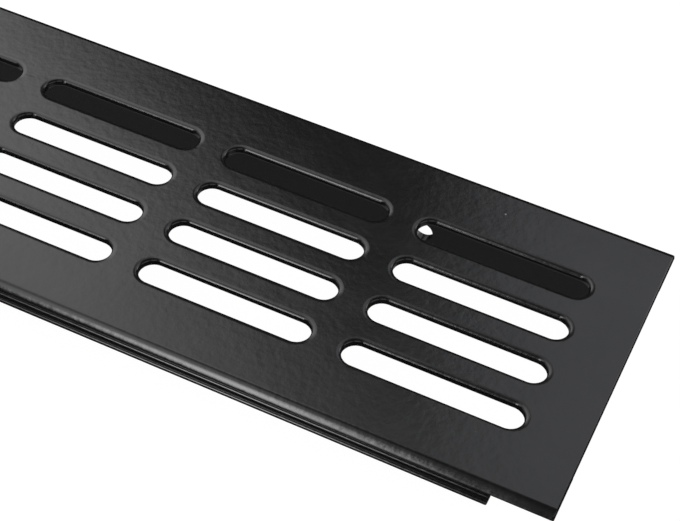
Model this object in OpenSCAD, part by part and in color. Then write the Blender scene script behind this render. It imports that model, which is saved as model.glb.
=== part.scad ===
// Ventilation grille: one length of extruded aluminium channel, punched with rows of round-ended slots.
// The plate covers the cut-out, its rim lies on the panel, and two legs below it reach into the cut-out.
// The origin is on the surface under the legs, in the middle. X runs along the plate, Y to its rear, Z up.

/* [Plate] */
// Width of the plate across the slots
plate_width = 60; // [56:0.5:90]
// Thickness of the plate
plate_thickness = 1.5; // [1.2:0.1:2.5]
// Rounding of the two long top edges, limited by the plate's thickness
edge_radius = 1.5; // [0.3:0.1:2.5]
// Deburring chamfer on the sawn ends of the plate
end_chamfer = 0.2; // [0.1:0.05:0.4]

/* [Slots] */
// Number of slots along the plate
columns = 5; // [3:1:8]
// Number of slot rows across the plate
rows = 4; // [1:1:4]
// Distance between neighbouring slots along the plate, middle to middle
column_pitch = 36.4; // [34:0.1:45]
// Distance between neighbouring rows, middle to middle
row_pitch = 10.1; // [8:0.1:11]
// Length of a slot over its round ends
slot_length = 30.7; // [20:0.1:33]
// Width of a slot
slot_width = 5.1; // [4:0.1:6.5]
// Roll-over that the punch leaves around the top of each slot
slot_edge_radius = 0.6; // [0.3:0.05:1.1]
// Distance from the end of the plate to the tip of the nearest slot
end_margin = 10.25; // [6:0.25:20]
// Shift of the field of slots from the middle of the plate, minus towards the front edge
slot_field_offset = -0.45; // [-1:0.05:1]

/* [Legs] */
// Depth of the legs below the plate
leg_depth = 11.5; // [9:0.5:20]
// Thickness of a leg
leg_thickness = 1.5; // [1.2:0.1:2]
// Distance from the long edge of the plate to the outer face of the leg
leg_inset = 6; // [4:0.5:8]
// Distance that the legs stop short of the ends of the plate
leg_end_gap = 11.4; // [5:0.1:20]
// Rounding of the lower corner at each end of a leg
leg_corner_radius = 0.8; // [0.3:0.1:2]
// Rounding of the two edges along the bottom of a leg
leg_edge_radius = 0.3; // [0.1:0.05:0.5]
// Fillets where the legs grow out of the plate
root_radius = 0.5; // [0.2:0.1:1]

/* [Grip ribs] */
// Radius of the half-round ribs along the outer face of each leg
rib_radius = 0.3; // [0.2:0.05:0.6]
// Number of ribs on each leg
ribs = 2; // [1:1:3]
// Distance between neighbouring ribs
rib_pitch = 1.65; // [1.4:0.05:2.2]
// Height of the lowest rib above the bottom of the leg
first_rib_height = 1; // [0.7:0.05:1.5]

/* [Screw holes] */
// Diameter of the two screw holes through the rear leg
screw_hole_d = 4; // [2.5:0.1:5]
// Distance from the end of the plate to the middle of the nearer screw hole
screw_hole_from_end = 42.6; // [20:0.1:60]
// Height of the screw holes above the bottom of the leg
screw_hole_height = 3.65; // [3.2:0.05:5.5]

/* [Hidden] */
$fn = 72;

plate_length = 2 * end_margin + (columns - 1) * column_pitch + slot_length;
total_height = leg_depth + plate_thickness;
leg_length = plate_length - 2 * leg_end_gap;
leg_outer_face = plate_width / 2 - leg_inset;
long_edge_radius = min(edge_radius, plate_thickness);
// Cutters reach this far past the faces that they cut
overcut = 1;

// What a rounding of radius r takes off a corner whose sides run along x = r and y = r
module corner_waste(r) {
    difference() {
        square(r + overcut);
        circle(r);
    }
}

// Fillet of radius r in the inside corner between the two axes
module inside_fillet(r) {
    difference() {
        square(r);
        translate([r, r]) circle(r);
    }
}

// Section of the plate, square below and rounded along both top edges
module plate_section() {
    difference() {
        translate([-plate_width / 2, leg_depth]) square([plate_width, plate_thickness]);
        for (side = [0, 1]) mirror([side, 0])
            translate([plate_width / 2 - long_edge_radius, total_height - long_edge_radius])
                corner_waste(long_edge_radius);
    }
}

// Section of the leg on the right of the profile, with its grip ribs and root fillets
module leg_section() {
    difference() {
        translate([leg_outer_face - leg_thickness, 0])
            square([leg_thickness, leg_depth + plate_thickness / 2]);
        translate([leg_outer_face - leg_edge_radius, leg_edge_radius])
            mirror([0, 1]) corner_waste(leg_edge_radius);
        translate([leg_outer_face - leg_thickness + leg_edge_radius, leg_edge_radius])
            mirror([1, 0]) mirror([0, 1]) corner_waste(leg_edge_radius);
    }
    for (i = [0 : ribs - 1])
        translate([leg_outer_face, first_rib_height + i * rib_pitch]) circle(rib_radius);
    translate([leg_outer_face, leg_depth]) mirror([0, 1]) inside_fillet(root_radius);
    translate([leg_outer_face - leg_thickness, leg_depth])
        mirror([1, 0]) mirror([0, 1]) inside_fillet(root_radius);
}

// Turns a section drawn in Y and Z into a bar along X, in the middle of the plate
module along_plate(length) {
    rotate([90, 0, 90]) linear_extrude(length, center = true) children();
}

// Both legs, milled back from the ends of the plate, with the lower corners taken off
module legs() {
    difference() {
        along_plate(leg_length)
            for (side = [0, 1]) mirror([side, 0]) leg_section();
        for (side = [0, 1]) mirror([side, 0, 0])
            translate([leg_length / 2 - leg_corner_radius, 0, leg_corner_radius])
                rotate([90, 0, 0]) linear_extrude(plate_width, center = true)
                    mirror([0, 1]) corner_waste(leg_corner_radius);
    }
}

// Half of a slot's section, from its middle to its wall, flared where the punch rolled the edge over
module slot_half_section() {
    wall = slot_width / 2;
    translate([0, -overcut]) square([wall, plate_thickness + 2 * overcut]);
    difference() {
        translate([0, plate_thickness - slot_edge_radius])
            square([wall + slot_edge_radius, slot_edge_radius + overcut]);
        translate([wall + slot_edge_radius, plate_thickness - slot_edge_radius])
            circle(slot_edge_radius);
    }
}

// Punch for one slot, standing on the underside of the plate
module slot_punch() {
    straight = slot_length - slot_width;
    along_plate(straight)
        for (side = [0, 1]) mirror([side, 0]) slot_half_section();
    for (end = [-1, 1]) translate([end * straight / 2, 0, 0])
        rotate_extrude() slot_half_section();
}

module slot_field() {
    first_x = -(columns - 1) * column_pitch / 2;
    first_y = slot_field_offset - (rows - 1) * row_pitch / 2;
    for (column = [0 : columns - 1], row = [0 : rows - 1])
        translate([first_x + column * column_pitch, first_y + row * row_pitch, leg_depth])
            slot_punch();
}

// Chamfers along the top of the two sawn ends
module end_chamfers() {
    for (side = [0, 1]) mirror([side, 0, 0])
        translate([plate_length / 2, 0, total_height]) rotate([0, 45, 0])
            cube([sqrt(2) * end_chamfer, plate_width + 2 * overcut, sqrt(2) * end_chamfer], center = true);
}

module screw_holes() {
    for (side = [-1, 1])
        translate([side * (plate_length / 2 - screw_hole_from_end), leg_outer_face, screw_hole_height])
            rotate([90, 0, 0])
                cylinder(d = screw_hole_d, h = 2 * (leg_thickness + rib_radius + overcut), center = true);
}

// The whole grille, one piece of profile
module vent_grille() {
    color([0.13, 0.13, 0.14])
    difference() {
        union() {
            along_plate(plate_length) plate_section();
            legs();
        }
        slot_field();
        end_chamfers();
        screw_holes();
    }
}

vent_grille();
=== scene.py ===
import math

import bmesh
import bpy
from mathutils import Matrix, Vector


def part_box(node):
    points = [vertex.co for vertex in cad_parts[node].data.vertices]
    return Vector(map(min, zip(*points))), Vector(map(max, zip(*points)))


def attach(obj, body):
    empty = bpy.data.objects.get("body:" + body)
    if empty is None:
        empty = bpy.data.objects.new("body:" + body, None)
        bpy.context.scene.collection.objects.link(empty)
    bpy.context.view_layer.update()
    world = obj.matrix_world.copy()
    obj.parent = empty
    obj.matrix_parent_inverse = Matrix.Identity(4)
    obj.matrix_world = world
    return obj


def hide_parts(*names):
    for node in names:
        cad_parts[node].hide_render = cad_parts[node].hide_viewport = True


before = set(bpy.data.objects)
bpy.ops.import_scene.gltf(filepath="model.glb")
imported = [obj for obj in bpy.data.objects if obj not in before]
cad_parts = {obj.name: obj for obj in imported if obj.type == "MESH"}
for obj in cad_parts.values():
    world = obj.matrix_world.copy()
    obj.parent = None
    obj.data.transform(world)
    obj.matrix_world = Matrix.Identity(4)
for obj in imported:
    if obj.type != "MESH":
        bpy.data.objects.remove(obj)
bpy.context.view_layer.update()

# The section of the grille, as the extrusion die gives it: a flat plate with two rounded long edges,
# and two legs set in from them, each with two fine grip ribs low on its outer face. It is one piece
# of aluminium, so the whole outline is one closed line with a rounding at every corner.
mm = 0.001
low_corner, high_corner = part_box("vent_grille")
plate_length = high_corner.x - low_corner.x
plate_width = high_corner.y - low_corner.y
total_height = high_corner.z - low_corner.z
plate_thickness = 1.5 * mm
underside = total_height - plate_thickness

long_edge_rounding = 1.44 * mm
rim_rounding = 0.06 * mm
root_fillet = 0.5 * mm
leg_inset = 6 * mm
leg_thickness = 1.5 * mm
leg_edge_rounding = 0.3 * mm
rib_height = 0.3 * mm
rib_foot_fillet = 0.03 * mm
rib_levels = (2.65 * mm, 1.0 * mm)

plate_edge = plate_width / 2
leg_outer_face = plate_edge - leg_inset
leg_inner_face = leg_outer_face - leg_thickness
rib_crest = leg_outer_face + rib_height
rib_rounding = rib_height - rib_foot_fillet

section_corners = [
    (plate_edge, total_height, long_edge_rounding),
    (plate_edge, underside, rim_rounding),
    (leg_outer_face, underside, root_fillet),
]
for level in rib_levels:
    section_corners.append((leg_outer_face, level + rib_height, rib_foot_fillet))
    section_corners.append((rib_crest, level + rib_height, rib_rounding))
    section_corners.append((rib_crest, level - rib_height, rib_rounding))
    section_corners.append((leg_outer_face, level - rib_height, rib_foot_fillet))
section_corners.append((leg_outer_face, 0, leg_edge_rounding))
section_corners.append((leg_inner_face, 0, leg_edge_rounding))
section_corners.append((leg_inner_face, underside, root_fillet))
mirrored_corners = [(-across, up, rounding) for across, up, rounding in reversed(section_corners)]
section_corners = section_corners + mirrored_corners

section_mesh = bpy.data.meshes.new("channel_section")
section_points = [(across, up, 0) for across, up, rounding in section_corners]
corner_count = len(section_points)
section_edges = [(i, (i + 1) % corner_count) for i in range(corner_count)]
section_mesh.from_pydata(section_points, section_edges, [])
corner_roundings = section_mesh.attributes.new("rounding", "FLOAT", "POINT")
for i, (across, up, rounding) in enumerate(section_corners):
    corner_roundings.data[i].value = rounding


def set_out(name, data):
    """A new object that stands at the origin of the scene."""
    thing = bpy.data.objects.new(name, data)
    bpy.context.scene.collection.objects.link(thing)
    return thing


channel_blank = set_out("channel_blank", section_mesh)

# The extrusion is cut to length, its legs are milled back from both ends, the plate is punched with
# four rows of round-ended slots, and two screw holes are drilled through the rear leg. The slots'
# sizes are those over the coat, whose film narrows them by a twentieth of a millimetre on each side.
shop_work = bpy.data.node_groups.new("Punch and mill a channel", "GeometryNodeTree")
shop_work.interface.new_socket("Section", in_out="INPUT", socket_type="NodeSocketGeometry")
shop_sizes = {
    "Plate Length": plate_length,
    "Plate Width": plate_width,
    "Plate Top": total_height,
    "Plate Thickness": plate_thickness,
    "Leg Middle": leg_outer_face - leg_thickness / 2,
    "Leg End Gap": 11.4 * mm,
    "Leg Corner Radius": 0.8 * mm,
    "Slot Length": 30.7 * mm,
    "Slot Width": 5.0 * mm,
    "Slot Edge Radius": 0.5 * mm,
    "Slot Sink Radius": 4.5 * mm,
    "Slot Sink Slope": math.radians(9),
    "Column Pitch": 36.4 * mm,
    "Row Pitch": 10.1 * mm,
    "Field Shift": -0.5 * mm,
    "Screw Hole Diameter": 4 * mm,
    "Screw Hole From End": 42.6 * mm,
    "Screw Hole Height": 3.65 * mm,
    "Screw Hole Leg Face": leg_outer_face,
}
shop_counts = {"Columns": 5, "Rows": 4}
for name in shop_sizes:
    shop_work.interface.new_socket(name, in_out="INPUT", socket_type="NodeSocketFloat")
for name in shop_counts:
    shop_work.interface.new_socket(name, in_out="INPUT", socket_type="NodeSocketInt")
shop_work.interface.new_socket("Coating", in_out="INPUT", socket_type="NodeSocketMaterial")
shop_work.interface.new_socket("Grille", in_out="OUTPUT", socket_type="NodeSocketGeometry")
given = shop_work.nodes.new("NodeGroupInput").outputs


def feed(socket, term):
    """Joins a socket to the output of another node, or sets it to a plain value."""
    if isinstance(term, bpy.types.NodeSocket):
        socket.id_data.links.new(term, socket)
    else:
        socket.default_value = term


def step(kind, *settings, **sockets):
    """One node of the tree, with its settings and its named sockets."""
    node = shop_work.nodes.new("GeometryNode" + kind)
    for setting, choice in settings:
        setattr(node, setting, choice)
    for name, term in sockets.items():
        feed(node.inputs[name.replace("_", " ")], term)
    return node


def calc(operation, *terms):
    """A sum on sizes or fields, as one Math node."""
    node = shop_work.nodes.new("ShaderNodeMath")
    node.operation = operation
    for socket, term in zip(node.inputs, terms):
        feed(socket, term)
    return node.outputs["Value"]


def place(x=0.0, y=0.0, z=0.0):
    """A point or a size from three numbers or outputs."""
    node = shop_work.nodes.new("ShaderNodeCombineXYZ")
    for socket, term in zip(node.inputs, (x, y, z)):
        feed(socket, term)
    return node.outputs["Vector"]


# Cutters reach this far past the faces that they cut.
overcut = 1 * mm
plate_underside = calc("SUBTRACT", given["Plate Top"], given["Plate Thickness"])

# The die's outline, rounded at its corners and drawn out along X. Its rings stand midway between the
# columns of slots and at both ends, so that no face of the plate runs past more than one column.
corner_steps = 8
outline = step("MeshToCurve", Mesh=given["Section"])
corner_radius = step("InputNamedAttribute", Name="rounding")
rounded = step("FilletCurve", ("mode", "POLY"), Curve=outline.outputs["Curve"], Count=corner_steps,
               Radius=corner_radius.outputs["Attribute"], Limit_Radius=True)
half_length = calc("DIVIDE", given["Plate Length"], 2)
draw_line = step("CurvePrimitiveLine", End=(0, 0, 1))
draw_marks = step("ResampleCurve", Curve=draw_line.outputs["Curve"],
                  Count=calc("ADD", given["Columns"], 3))
mark = step("InputIndex").outputs["Index"]
middle_mark = calc("DIVIDE", calc("ADD", given["Columns"], 2), 2)
mark_along = calc("MULTIPLY", calc("SUBTRACT", mark, middle_mark), given["Column Pitch"])
mark_along = calc("MAXIMUM", mark_along, calc("MULTIPLY", half_length, -1))
mark_along = calc("MINIMUM", mark_along, half_length)
drawn = step("SetPosition", Geometry=draw_marks.outputs["Curve"], Position=place(z=mark_along))
bar_upright = step("CurveToMesh", Curve=drawn.outputs["Geometry"], Fill_Caps=True)
feed(bar_upright.inputs["Profile Curve"], rounded.outputs["Curve"])
bar = step("Transform", Geometry=bar_upright.outputs["Mesh"], Rotation=(math.pi / 2, 0, math.pi / 2))

# The end mill takes off each leg and skims the plate where it stood, and rounds the lower corners.
mill_skim = 0.02 * mm
mill_width = 3.5 * mm
half_leg = calc("SUBTRACT", half_length, given["Leg End Gap"])
leg_corner = given["Leg Corner Radius"]
mill_start = calc("SUBTRACT", half_leg, leg_corner)
mill_reach = calc("ADD", calc("SUBTRACT", half_length, mill_start), overcut)
mill_top = calc("ADD", plate_underside, mill_skim)
mill_height = calc("ADD", mill_top, overcut)
mill_block = step("MeshCube", Size=place(mill_reach, mill_width, mill_height))
mill_middle = calc("ADD", mill_start, calc("DIVIDE", mill_reach, 2))
mill_level = calc("DIVIDE", calc("SUBTRACT", mill_top, overcut), 2)
mill_spots = step("MeshGrid", Size_X=calc("MULTIPLY", mill_middle, 2),
                  Size_Y=calc("MULTIPLY", given["Leg Middle"], 2), Vertices_X=2, Vertices_Y=2)
mill_placed = step("Transform", Geometry=mill_spots.outputs["Mesh"], Translation=place(z=mill_level))
mill_blocks = step("InstanceOnPoints", Points=mill_placed.outputs["Geometry"],
                   Instance=mill_block.outputs["Mesh"])
mill_solid = step("RealizeInstances", Geometry=mill_blocks.outputs["Instances"])
leg_side = step("CurvePrimitiveQuadrilateral", Width=calc("MULTIPLY", half_leg, 2),
                Height=calc("MULTIPLY", given["Plate Top"], 2))
leg_side_rounded = step("FilletCurve", ("mode", "POLY"), Curve=leg_side.outputs["Curve"],
                        Count=corner_steps, Radius=leg_corner)
across_line = step("CurvePrimitiveLine", Start=place(z=calc("MULTIPLY", given["Plate Width"], -1)),
                   End=place(z=given["Plate Width"]))
leg_window = step("CurveToMesh", Curve=across_line.outputs["Curve"], Fill_Caps=True)
feed(leg_window.inputs["Profile Curve"], leg_side_rounded.outputs["Curve"])
leg_window_up = step("Transform", Geometry=leg_window.outputs["Mesh"],
                     Translation=place(z=given["Plate Top"]), Rotation=(math.pi / 2, 0, 0))
end_mill = step("MeshBoolean", ("operation", "DIFFERENCE"), ("solver", "EXACT"),
                Mesh_1=mill_solid.outputs["Geometry"], Mesh_2=leg_window_up.outputs["Geometry"])

# The punch is a stack of slot outlines, with one ring below the plate and one above it. The rings
# between them flare out along the roll-over, which is a tight rounding at the wall and then a slow
# sink of the plate round it.
slot_end_steps = 14
tight_rings = 7
sink_rings = 4
punch_lift = 0.004 * mm
punch_seam = 0.01 * mm
slot_radius = calc("DIVIDE", given["Slot Width"], 2)
slot_box = step("CurvePrimitiveQuadrilateral", Width=given["Slot Length"], Height=given["Slot Width"])
slot_outline = step("FilletCurve", ("mode", "POLY"), Curve=slot_box.outputs["Curve"],
                    Count=slot_end_steps, Radius=slot_radius)
punch_axis = step("CurvePrimitiveLine", End=(0, 0, 1))
top_ring = tight_rings + sink_rings + 2
punch_rings = step("ResampleCurve", Curve=punch_axis.outputs["Curve"], Count=top_ring + 1)
ring = step("InputIndex").outputs["Index"]
tight_share = calc("DIVIDE", calc("SUBTRACT", ring, 1), tight_rings)
tight_share = calc("MINIMUM", calc("MAXIMUM", tight_share, 0), 1)
sink_share = calc("DIVIDE", calc("SUBTRACT", ring, tight_rings + 1), sink_rings)
sink_share = calc("MINIMUM", calc("MAXIMUM", sink_share, 0), 1)
edge_radius = given["Slot Edge Radius"]
sink_radius = given["Slot Sink Radius"]
sink_slope = given["Slot Sink Slope"]
tight_turn = calc("MULTIPLY", tight_share, calc("SUBTRACT", math.pi / 2, sink_slope))
slope_left = calc("MULTIPLY", calc("SUBTRACT", 1, sink_share), sink_slope)
tight_flare = calc("MULTIPLY", edge_radius, calc("SUBTRACT", 1, calc("COSINE", tight_turn)))
sink_flare = calc("MULTIPLY", sink_radius, calc("SUBTRACT", calc("SINE", sink_slope),
                                                calc("SINE", slope_left)))
flare = calc("ADD", tight_flare, sink_flare)
tight_rise_left = calc("MULTIPLY", edge_radius, calc("SUBTRACT", calc("COSINE", sink_slope),
                                                     calc("SINE", tight_turn)))
sink_rise_left = calc("MULTIPLY", sink_radius, calc("SUBTRACT", 1, calc("COSINE", slope_left)))
arc_level = calc("SUBTRACT", calc("SUBTRACT", given["Plate Thickness"], tight_rise_left), sink_rise_left)
below = calc("MULTIPLY", calc("LESS_THAN", ring, 0.5), calc("ADD", arc_level, overcut))
above = calc("MULTIPLY", calc("GREATER_THAN", ring, top_ring - 0.5), overcut)
above = calc("ADD", above, punch_lift)
ring_level = calc("ADD", calc("SUBTRACT", arc_level, below), above)
stored_flare = step("StoreNamedAttribute", Geometry=punch_rings.outputs["Curve"], Name="flare",
                    Value=flare)
placed_rings = step("SetPosition", Geometry=stored_flare.outputs["Geometry"],
                    Position=place(z=ring_level))
punch_straight = step("CurveToMesh", Curve=placed_rings.outputs["Geometry"], Fill_Caps=True)
feed(punch_straight.inputs["Profile Curve"], slot_outline.outputs["Curve"])

# Each point of a ring moves straight out from the slot's middle line by the flare of that ring.
spot = shop_work.nodes.new("ShaderNodeSeparateXYZ")
feed(spot.inputs["Vector"], step("InputPosition").outputs["Position"])
half_straight = calc("SUBTRACT", calc("DIVIDE", given["Slot Length"], 2), slot_radius)
end_side = calc("SIGN", spot.outputs["X"])
past_straight = calc("MAXIMUM", calc("SUBTRACT", calc("ABSOLUTE", spot.outputs["X"]), half_straight), 0)
outward = shop_work.nodes.new("ShaderNodeVectorMath")
outward.operation = "NORMALIZE"
feed(outward.inputs[0], place(calc("MULTIPLY", past_straight, end_side), spot.outputs["Y"]))
flared_by = step("InputNamedAttribute", Name="flare")
push = shop_work.nodes.new("ShaderNodeVectorMath")
push.operation = "SCALE"
feed(push.inputs[0], outward.outputs["Vector"])
feed(push.inputs["Scale"], flared_by.outputs["Attribute"])
punch_flared = step("SetPosition", Geometry=punch_straight.outputs["Mesh"],
                    Offset=push.outputs["Vector"])
punch = step("MergeByDistance", Geometry=punch_flared.outputs["Geometry"], Distance=punch_seam)

# The punch comes down once for each slot of the field.
field_length = calc("MULTIPLY", calc("SUBTRACT", given["Columns"], 1), given["Column Pitch"])
field_width = calc("MULTIPLY", calc("SUBTRACT", given["Rows"], 1), given["Row Pitch"])
field = step("MeshGrid", Size_X=field_length, Size_Y=field_width, Vertices_X=given["Columns"],
             Vertices_Y=given["Rows"])
field_placed = step("Transform", Geometry=field.outputs["Mesh"],
                    Translation=place(0.0, given["Field Shift"], plate_underside))
strokes = step("InstanceOnPoints", Points=field_placed.outputs["Geometry"],
               Instance=punch.outputs["Geometry"])
punches = step("RealizeInstances", Geometry=strokes.outputs["Instances"])

# The drill goes through the rear leg near both ends.
drill_sides = 48
drill_length = 8 * mm
drill = step("MeshCylinder", Vertices=drill_sides, Depth=drill_length,
             Radius=calc("DIVIDE", given["Screw Hole Diameter"], 2))
drill_across = step("Transform", Geometry=drill.outputs["Mesh"], Rotation=(math.pi / 2, 0, 0))
hole_x = calc("SUBTRACT", half_length, given["Screw Hole From End"])
hole_spots = step("MeshLine", Count=2, Offset=place(calc("MULTIPLY", hole_x, -2)),
                  Start_Location=place(hole_x, given["Screw Hole Leg Face"],
                                       given["Screw Hole Height"]))
drilled = step("InstanceOnPoints", Points=hole_spots.outputs["Mesh"],
               Instance=drill_across.outputs["Geometry"])
drills = step("RealizeInstances", Geometry=drilled.outputs["Instances"])

# All cutters are taken from the bar in one go, and points that the cuts leave double are welded.
weld_reach = 0.004 * mm
cut = step("MeshBoolean", ("operation", "DIFFERENCE"), ("solver", "EXACT"),
           Mesh_1=bar.outputs["Geometry"])
for tool in (end_mill.outputs["Mesh"], punches.outputs["Geometry"], drills.outputs["Geometry"]):
    feed(cut.inputs["Mesh 2"], tool)
welded = step("MergeByDistance", Geometry=cut.outputs["Mesh"], Distance=weld_reach)
finished = step("RealizeInstances", Geometry=welded.outputs["Geometry"])
coated = step("SetMaterial", Geometry=finished.outputs["Geometry"], Material=given["Coating"])
result = shop_work.nodes.new("NodeGroupOutput")
feed(result.inputs["Grille"], coated.outputs["Geometry"])

# The finish is black powder coat on all faces: a thick, smooth polyester film with a satin gloss, a
# fine orange peel and the faint mottle of its pigment, baked on after the cutting and punching.
film_ior = 1.5
powder_coat = bpy.data.materials.new("satin_black_coat")
powder_coat.use_nodes = True
coat_nodes = powder_coat.node_tree.nodes
film = coat_nodes["Principled BSDF"]
film.inputs["IOR"].default_value = film_ior
film_place = coat_nodes.new("ShaderNodeTexCoord").outputs["Object"]


def grain(wavelength, detail, seed):
    """A cloud of values round a half, with lumps of about the wavelength. Each seed gives another."""
    cloud = coat_nodes.new("ShaderNodeTexNoise")
    cloud.noise_dimensions = "4D"
    cloud.inputs["Scale"].default_value = 1 / wavelength
    cloud.inputs["Detail"].default_value = detail
    cloud.inputs["W"].default_value = seed
    feed(cloud.inputs["Vector"], film_place)
    return cloud.outputs["Fac"]


def remap(value, low, high, to_low, to_high):
    """Spreads values from one range over another, and holds them at its ends."""
    spread = coat_nodes.new("ShaderNodeMapRange")
    spread.inputs["From Min"].default_value = low
    spread.inputs["From Max"].default_value = high
    spread.inputs["To Min"].default_value = to_low
    spread.inputs["To Max"].default_value = to_high
    feed(spread.inputs["Value"], value)
    return spread.outputs["Result"]


def blend(factor, first, second):
    """A colour between two colours or colour outputs."""
    mixed = coat_nodes.new("ShaderNodeMix")
    mixed.data_type = "RGBA"
    feed(mixed.inputs["Factor"], factor)
    feed(mixed.inputs["A"], first)
    feed(mixed.inputs["B"], second)
    return mixed.outputs["Result"]


def bumps(lumps, height, under=None):
    """The direction that the film faces on lumps of the height, laid over those under them."""
    bump = coat_nodes.new("ShaderNodeBump")
    bump.inputs["Strength"].default_value = 1.0
    bump.inputs["Distance"].default_value = height
    feed(bump.inputs["Height"], lumps)
    if under is not None:
        feed(bump.inputs["Normal"], under)
    return bump.outputs["Normal"]


# The pigment is a touch uneven, half by patches of 2 cm and half by flecks of 2 mm. The values of a
# cloud stay between its low and its high.
cloud_low = 0.3
cloud_high = 0.7
pigment_share = 0.5
deep_black = (0.0058, 0.0058, 0.0060, 1)
faded_black = (0.0078, 0.0077, 0.0078, 1)
patches = remap(grain(wavelength=20 * mm, detail=2, seed=1.0), cloud_low, cloud_high,
                0, pigment_share)
flecks = remap(grain(wavelength=2 * mm, detail=3, seed=2.0), cloud_low, cloud_high,
               0, pigment_share)
pigment = coat_nodes.new("ShaderNodeMath")
pigment.operation = "ADD"
feed(pigment.inputs[0], patches)
feed(pigment.inputs[1], flecks)
coat_colour = blend(pigment.outputs[0], deep_black, faded_black)

# The film's gloss drifts a little from patch to patch, as its thickness does.
glossiest = 0.145
dullest = 0.185
gloss_drift = remap(grain(wavelength=9 * mm, detail=2, seed=3.0), cloud_low, cloud_high,
                    glossiest, dullest)

# Orange peel: shallow lumps about a millimetre apart, over a slow waviness of the film.
peel_height = 0.025 * mm
wave_height = 0.03 * mm
peel = bumps(grain(wavelength=1.2 * mm, detail=2, seed=4.0), peel_height)
waviness = bumps(grain(wavelength=6 * mm, detail=1, seed=5.0), wave_height, under=peel)

# A few grains of dust were baked into the film, and one larger pale one lies by the last slots.
dust_spacing = 5 * mm
dust_size = 0.16 * mm
dust_colour = (0.03, 0.03, 0.03, 1)
dust_cells = coat_nodes.new("ShaderNodeTexVoronoi")
dust_cells.inputs["Scale"].default_value = 1 / dust_spacing
feed(dust_cells.inputs["Vector"], film_place)
dust_grains = remap(dust_cells.outputs["Distance"], 0.5 * dust_size / dust_spacing,
                    dust_size / dust_spacing, 1, 0)
pale_grain_from_end = 28.86 * mm
pale_grain_across = 24.4 * mm
pale_grain_size = 0.22 * mm
pale_grain_colour = (0.18, 0.18, 0.17, 1)
pale_grain_gap = coat_nodes.new("ShaderNodeVectorMath")
pale_grain_gap.operation = "DISTANCE"
pale_grain_gap.inputs[1].default_value = (plate_length / 2 - pale_grain_from_end, pale_grain_across,
                                          total_height)
feed(pale_grain_gap.inputs[0], film_place)
pale_grain = remap(pale_grain_gap.outputs["Value"], 0.5 * pale_grain_size, pale_grain_size, 1, 0)
dusted = blend(dust_grains, coat_colour, dust_colour)
specked = blend(pale_grain, dusted, pale_grain_colour)

feed(film.inputs["Base Color"], specked)
feed(film.inputs["Roughness"], gloss_drift)
feed(film.inputs["Normal"], waviness)

# The sizes, the counts and the coat go into the tree, and its result becomes the grille's own mesh.
work = channel_blank.modifiers.new("shop work", "NODES")
work.node_group = shop_work
shop_values = {**shop_sizes, **shop_counts, "Coating": powder_coat}
for item in shop_work.interface.items_tree:
    if item.in_out == "INPUT" and item.name in shop_values:
        work[item.identifier] = shop_values[item.name]

evaluated_blank = channel_blank.evaluated_get(bpy.context.evaluated_depsgraph_get())
grille_mesh = bpy.data.meshes.new_from_object(evaluated_blank)
bpy.data.objects.remove(channel_blank)
grille_mesh.name = "grille_profile"
grille = set_out("grille_profile", grille_mesh)

# Deburring and the thick film leave a fine rounding on the sawn ends and under the slots.
sawn_end_rounding = 0.3 * mm
slot_foot_rounding = 0.45 * mm
rounding_steps = 3
crisp_edge = math.radians(60)
rim_zone = 0.3 * mm
hair = 0.002 * mm
shape = bmesh.new()
shape.from_mesh(grille_mesh)
sawn_edges = []
slot_foot_edges = []
for edge in shape.edges:
    start, end = (vertex.co for vertex in edge.verts)
    if edge.calc_face_angle(0) < crisp_edge:
        continue
    at_sawn_end = min(abs(start.x), abs(end.x)) > plate_length / 2 - hair
    at_underside = max(abs(start.z - underside), abs(end.z - underside)) < hair
    between_legs = max(abs(start.y), abs(end.y)) < leg_inner_face - 2 * root_fillet
    if at_sawn_end and min(start.z, end.z) > underside + rim_zone:
        sawn_edges.append(edge)
    elif at_underside and between_legs:
        slot_foot_edges.append(edge)
for edges, rounding in ((sawn_edges, sawn_end_rounding), (slot_foot_edges, slot_foot_rounding)):
    edges = [edge for edge in edges if edge.is_valid]
    bmesh.ops.bevel(shape, geom=edges, offset=rounding, segments=rounding_steps, profile=0.5,
                    affect="EDGES")
bmesh.ops.remove_doubles(shape, verts=shape.verts, dist=hair)
for face in shape.faces:
    face.smooth = True
    face.material_index = 0
shape.to_mesh(grille_mesh)
shape.free()
grille_mesh.materials.clear()
grille_mesh.materials.append(powder_coat)

crease = math.radians(32)
grille_mesh.set_sharp_from_angle(angle=crease)
flat_faces = grille.modifiers.new("flat faces stay flat", "WEIGHTED_NORMAL")
flat_faces.mode = "FACE_AREA_WITH_ANGLE"
flat_faces.keep_sharp = True

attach(grille, "root")
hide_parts("vent_grille")

# The floor is plain and pale, as in a studio. It shows near white and keeps a light shadow of the
# grille. It is hidden from the coat's gloss, which mirrors the tent and the soft boxes instead.
floor_reach = 3.0
floor_white_share = 0.93
floor_white_strength = 1.05
floor_grey = (0.8, 0.8, 0.8, 1)
floor_mesh = bpy.data.meshes.new("floor")
floor_mesh.from_pydata([(-floor_reach, -floor_reach, 0), (floor_reach, -floor_reach, 0),
                        (floor_reach, floor_reach, 0), (-floor_reach, floor_reach, 0)],
                       [], [(0, 1, 2, 3)])
floor = set_out("floor", floor_mesh)
floor.visible_glossy = False
pale = bpy.data.materials.new("pale_floor")
pale.use_nodes = True
pale_nodes = pale.node_tree.nodes
pale_nodes.clear()
light_path = pale_nodes.new("ShaderNodeLightPath").outputs
seen_any_way = light_path["Is Camera Ray"]
for way in ("Is Glossy Ray", "Is Transmission Ray"):
    either = pale_nodes.new("ShaderNodeMath")
    either.operation = "MAXIMUM"
    feed(either.inputs[0], seen_any_way)
    feed(either.inputs[1], light_path[way])
    seen_any_way = either.outputs[0]
white_share = pale_nodes.new("ShaderNodeMath")
white_share.operation = "MULTIPLY"
feed(white_share.inputs[0], seen_any_way)
white_share.inputs[1].default_value = floor_white_share
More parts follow.
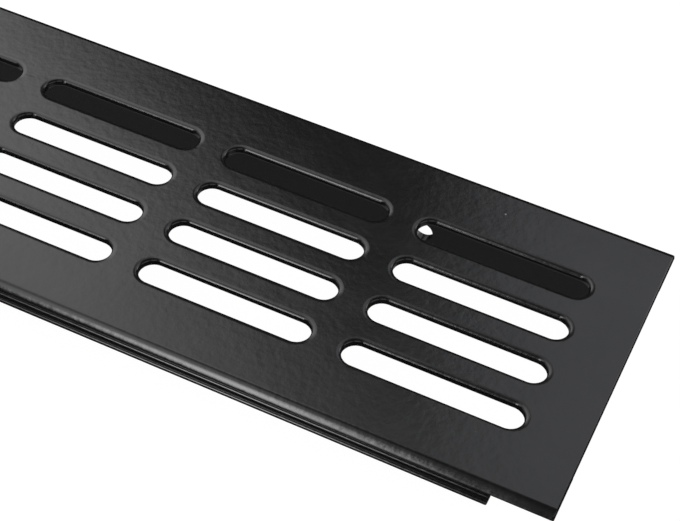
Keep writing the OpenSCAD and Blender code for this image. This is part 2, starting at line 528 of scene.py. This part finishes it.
matt = pale_nodes.new("ShaderNodeBsdfDiffuse")
matt.inputs["Color"].default_value = floor_grey
white = pale_nodes.new("ShaderNodeEmission")
white.inputs["Strength"].default_value = floor_white_strength
floor_mix = pale_nodes.new("ShaderNodeMixShader")
feed(floor_mix.inputs["Fac"], white_share.outputs[0])
feed(floor_mix.inputs[1], matt.outputs[0])
feed(floor_mix.inputs[2], white.outputs[0])
pale_out = pale_nodes.new("ShaderNodeOutputMaterial")
feed(pale_out.inputs["Surface"], floor_mix.outputs[0])
floor_mesh.materials.append(pale)

# The world is a plain white room. A near-black tent round the set shows only in the coat's gloss and
# keeps it dark, and soft boxes inside the tent light it up.
room = bpy.data.worlds.new("white_room")
bpy.context.scene.world = room
room.use_nodes = True
room.node_tree.nodes["Background"].inputs["Color"].default_value = (1, 1, 1, 1)
room.node_tree.nodes["Background"].inputs["Strength"].default_value = 1.0


def show_in_gloss_only(thing):
    """Leaves a stage piece to the reflections: no picture of it, no shadow and no light on the floor."""
    thing.visible_camera = False
    thing.visible_diffuse = False
    thing.visible_transmission = False
    thing.visible_volume_scatter = False
    thing.visible_shadow = False


def plain_glow(name, strength):
    """A material that gives off even white light."""
    material = bpy.data.materials.new(name)
    material.use_nodes = True
    material.node_tree.nodes.clear()
    light = material.node_tree.nodes.new("ShaderNodeEmission")
    light.inputs["Color"].default_value = (1, 1, 1, 1)
    light.inputs["Strength"].default_value = strength
    out = material.node_tree.nodes.new("ShaderNodeOutputMaterial")
    feed(out.inputs["Surface"], light.outputs[0])
    return material


tent_radius = 12.0
tent_glow = 0.02
tent_panels = 48
tent_shape = bmesh.new()
bmesh.ops.create_uvsphere(tent_shape, u_segments=tent_panels, v_segments=tent_panels // 2,
                          radius=tent_radius)
tent_mesh = bpy.data.meshes.new("black_tent")
tent_shape.to_mesh(tent_mesh)
tent_shape.free()
tent_mesh.materials.append(plain_glow("black_cloth", tent_glow))
tent = set_out("black_tent", tent_mesh)
show_in_gloss_only(tent)


def soft_box(name, azimuth, elevation, across, up, brightness, lean=0, tint=(1, 1, 1), distance=3.0):
    """A glowing card that faces the grille from afar, square to a line at the azimuth and elevation.
    Azimuth 0 is behind the grille and minus is to the left. Across and up are four angles each, in
    degrees from that line, at which the glow starts, is full, is still full, and ends."""
    xs = [distance * math.tan(math.radians(angle)) for angle in across]
    ys = [distance * math.tan(math.radians(angle)) for angle in up]
    card_mesh = bpy.data.meshes.new(name)
    card_mesh.from_pydata([(xs[0], ys[0], 0), (xs[3], ys[0], 0), (xs[3], ys[3], 0), (xs[0], ys[3], 0)],
                          [], [(0, 1, 2, 3)])
    glow = bpy.data.materials.new(name)
    glow.use_nodes = True
    nodes = glow.node_tree.nodes
    nodes.clear()
    apart = nodes.new("ShaderNodeSeparateXYZ")
    feed(apart.inputs[0], nodes.new("ShaderNodeTexCoord").outputs["Object"])
    mask = 1.0
    for axis, marks in (("X", xs), ("Y", ys)):
        for start, full in ((marks[0], marks[1]), (marks[3], marks[2])):
            fade = nodes.new("ShaderNodeMapRange")
            fade.interpolation_type = "SMOOTHSTEP"
            fade.inputs["From Min"].default_value = start
            fade.inputs["From Max"].default_value = full
            feed(fade.inputs["Value"], apart.outputs[axis])
            product = nodes.new("ShaderNodeMath")
            product.operation = "MULTIPLY"
            feed(product.inputs[0], fade.outputs["Result"])
            feed(product.inputs[1], mask)
            mask = product.outputs[0]
    clear = nodes.new("ShaderNodeBsdfTransparent")
    light = nodes.new("ShaderNodeEmission")
    light.inputs["Color"].default_value = (*tint, 1)
    light.inputs["Strength"].default_value = brightness
    masked_glow = nodes.new("ShaderNodeMixShader")
    feed(masked_glow.inputs["Fac"], mask)
    feed(masked_glow.inputs[1], clear.outputs[0])
    feed(masked_glow.inputs[2], light.outputs[0])
    out = nodes.new("ShaderNodeOutputMaterial")
    feed(out.inputs["Surface"], masked_glow.outputs[0])
    card_mesh.materials.append(glow)
    card = set_out(name, card_mesh)
    swing = Matrix.Rotation(-math.radians(azimuth), 4, "Z")
    tip = Matrix.Rotation(math.radians(90 + elevation), 4, "X")
    away = Matrix.Translation((0, 0, -distance))
    card.matrix_world = swing @ tip @ away @ Matrix.Rotation(math.radians(lean), 4, "Z")
    show_in_gloss_only(card)


# Two boxes in front light the rounded front edge and the rolled-over far edges of the slots.
soft_box("front_strip", azimuth=-164, elevation=11, across=(-9, -1, 1, 9), up=(-52, -2, 2, 39),
         brightness=10, lean=-6)
soft_box("front_top_box", azimuth=-146, elevation=46, across=(-20, -1, 1, 20), up=(-40, -1, 1, 40),
         brightness=2.3, lean=-25, distance=3.6)

# Four boxes behind light the left and the right part of the plate, the sink of the plate along the
# slots' far sides, and the rounding at the sawn right end.
soft_box("left_rear_box", azimuth=-49, elevation=52, across=(-45, -30, -7.5, 28), up=(-20, -10, 30, 40),
         brightness=2.2, lean=70, distance=3.4)
soft_box("right_rear_box", azimuth=0, elevation=0, across=(-16, -10.5, 45, 55), up=(39.7, 41.5, 55, 64),
         brightness=1.07, tint=(0.97, 0.985, 1.04), distance=3.2)
soft_box("rear_upper_box", azimuth=-42, elevation=63, across=(-12, -6, 3, 7), up=(-8, -4, 4, 8),
         brightness=1.8)
soft_box("right_end_box", azimuth=31, elevation=33, across=(-10, -5, 6, 12), up=(-14, -8, 4, 7),
         brightness=3.0, distance=2.8)

# Dim boxes at both sides and in front on the right keep the grille readable from its other sides.
soft_box("left_side_box", azimuth=-98, elevation=22, across=(-30, -18, 18, 30), up=(-24, -12, 12, 24),
         brightness=0.8)
soft_box("right_side_box", azimuth=98, elevation=22, across=(-30, -18, 18, 30), up=(-24, -12, 12, 24),
         brightness=0.8)
soft_box("front_right_box", azimuth=158, elevation=28, across=(-24, -16, 8, 14), up=(-26, -14, 14, 26),
         brightness=0.9)

# A grey card lies on the floor along the rear leg, and lights its inner face below the last slots.
under_card_width = 11 * mm
under_card_glow = 0.2
under_card_rear = leg_inner_face
under_card_front = under_card_rear - under_card_width
under_card_mesh = bpy.data.meshes.new("card_under_slots")
under_card_mesh.from_pydata([(low_corner.x, under_card_front, hair), (high_corner.x, under_card_front, hair),
                             (high_corner.x, under_card_rear, hair), (low_corner.x, under_card_rear, hair)],
                            [], [(0, 1, 2, 3)])
under_card_mesh.materials.append(plain_glow("grey_card", under_card_glow))
under_card = set_out("card_under_slots", under_card_mesh)
show_in_gloss_only(under_card)

# The camera stands in front and to the right, and looks down on the right end.
camera_azimuth = math.radians(20.92)
camera_elevation = math.radians(46.91)
camera_roll = math.radians(5.68)
camera_distance = 276.1 * mm
camera_aim = Vector((49.18 * mm, 1.01 * mm, total_height))
camera_data = bpy.data.cameras.new("camera")
camera_data.lens = 88.71
camera_data.sensor_width = 36
camera_data.clip_start = 10 * mm
camera = set_out("camera", camera_data)
turn_to_side = Matrix.Rotation(camera_azimuth, 4, "Z")
tip_down = Matrix.Rotation(math.pi / 2 - camera_elevation, 4, "X")
roll = Matrix.Rotation(camera_roll, 4, "Z")
back_off = Matrix.Translation((0, 0, camera_distance))
camera.matrix_world = Matrix.Translation(camera_aim) @ turn_to_side @ tip_down @ back_off @ roll
bpy.context.scene.camera = camera

bpy.context.scene.view_settings.view_transform = "Standard"
